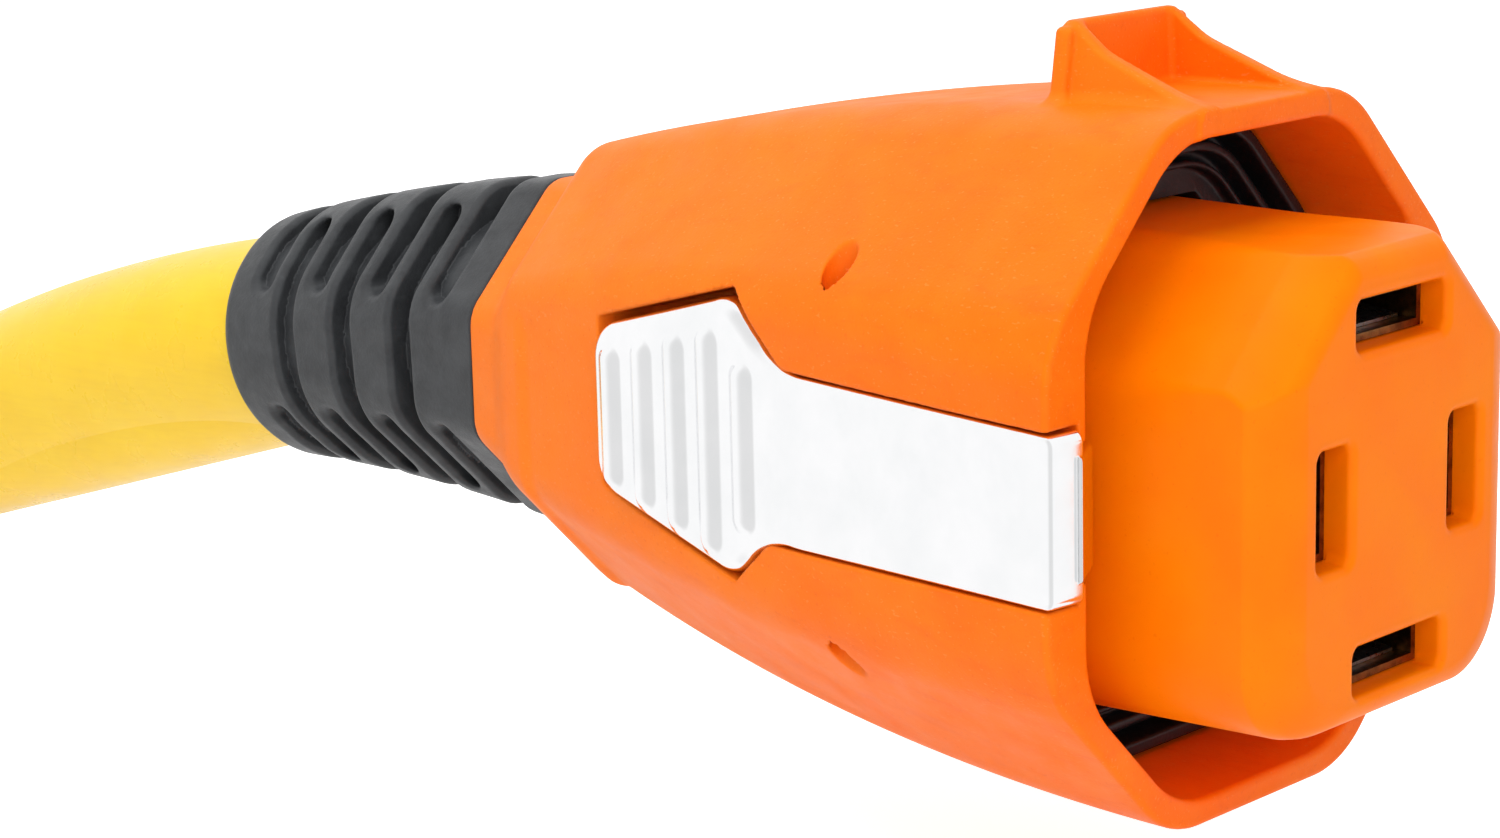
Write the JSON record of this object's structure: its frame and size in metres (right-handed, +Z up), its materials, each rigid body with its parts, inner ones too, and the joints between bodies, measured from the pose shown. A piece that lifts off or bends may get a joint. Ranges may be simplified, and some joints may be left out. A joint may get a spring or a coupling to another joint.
{
  "type": "shore power cord",
  "caption": "Shore power cord connector end with a side-latched octagonal shell, a slotted contact insert, a strain relief boot and a cable stub.",
  "frame": {"origin": "centre of the contact pattern on the insert's mating face", "axes": "+X is the mating direction, out of the shell's mouth; +Z is up, on the side of the wedge tray; the latches face +Y and -Y"},
  "size_m": [0.2972, 0.0762, 0.102],
  "materials": {
    "shell_plastic": "matte moulded orange with a fine mottle",
    "insert_plastic": "smooth satin orange",
    "carrier_plastic": "satin glass-filled plastic",
    "seal_rubber": "satin black",
    "boot_rubber": "satin black",
    "jacket_pvc": "glossy yellow",
    "filler": "fibre filler",
    "insulation_black": "semi-gloss",
    "insulation_red": "semi-gloss",
    "insulation_white": "semi-gloss",
    "insulation_green": "semi-gloss",
    "copper": "bare stranded copper",
    "contact_brass": "dull contact brass",
    "spring_steel": "spring steel",
    "screw_steel": "stainless",
    "clamp_plastic": "satin",
    "latch_chrome": "polished chrome",
    "pin_steel": "stainless"
  },
  "bodies": {
    "housing": {"shell": "shell_plastic", "contact_insert": "insert_plastic", "contact_carrier": "carrier_plastic", "face_seal": "seal_rubber", "gland_seal": "seal_rubber", "boot": "boot_rubber", "cable_jacket": "jacket_pvc", "cable_filler": "filler", "conductor_line1": "insulation_black", "conductor_line2": "insulation_red", "conductor_neutral": "insulation_white", "conductor_ground": "insulation_green", "copper_cores": "copper", "contact_line1": "contact_brass", "contact_line2": "contact_brass", "contact_neutral": "contact_brass", "contact_ground": "contact_brass", "contact_springs": "spring_steel", "terminal_screws": "screw_steel", "insert_screws": "screw_steel", "carrier_screws": "screw_steel", "clamp_upper": "clamp_plastic", "clamp_lower": "clamp_plastic", "clamp_screws": "screw_steel", "latch_pin_left": "pin_steel", "latch_pin_right": "pin_steel", "latch_spring_left": "spring_steel", "latch_spring_right": "spring_steel"},
    "latch_left": {"latch_left": "latch_chrome"},
    "latch_right": {"latch_right": "latch_chrome"}
  },
  "joints": [
    {"name": "latch_left_pivot", "type": "hinge", "parent": "housing", "child": "latch_left", "pos_m": [-0.0527, 0.03001, 0.0008], "axis": [0, 0, 1], "range_deg": [0, 6], "stiffness_Nm_per_rad": 0.8, "deforming": ["latch_spring_left"]},
    {"name": "latch_right_pivot", "type": "hinge", "parent": "housing", "child": "latch_right", "pos_m": [-0.0527, -0.03001, 0.0008], "axis": [0, 0, -1], "range_deg": [0, 6], "stiffness_Nm_per_rad": 0.8, "deforming": ["latch_spring_right"]}
  ]
}
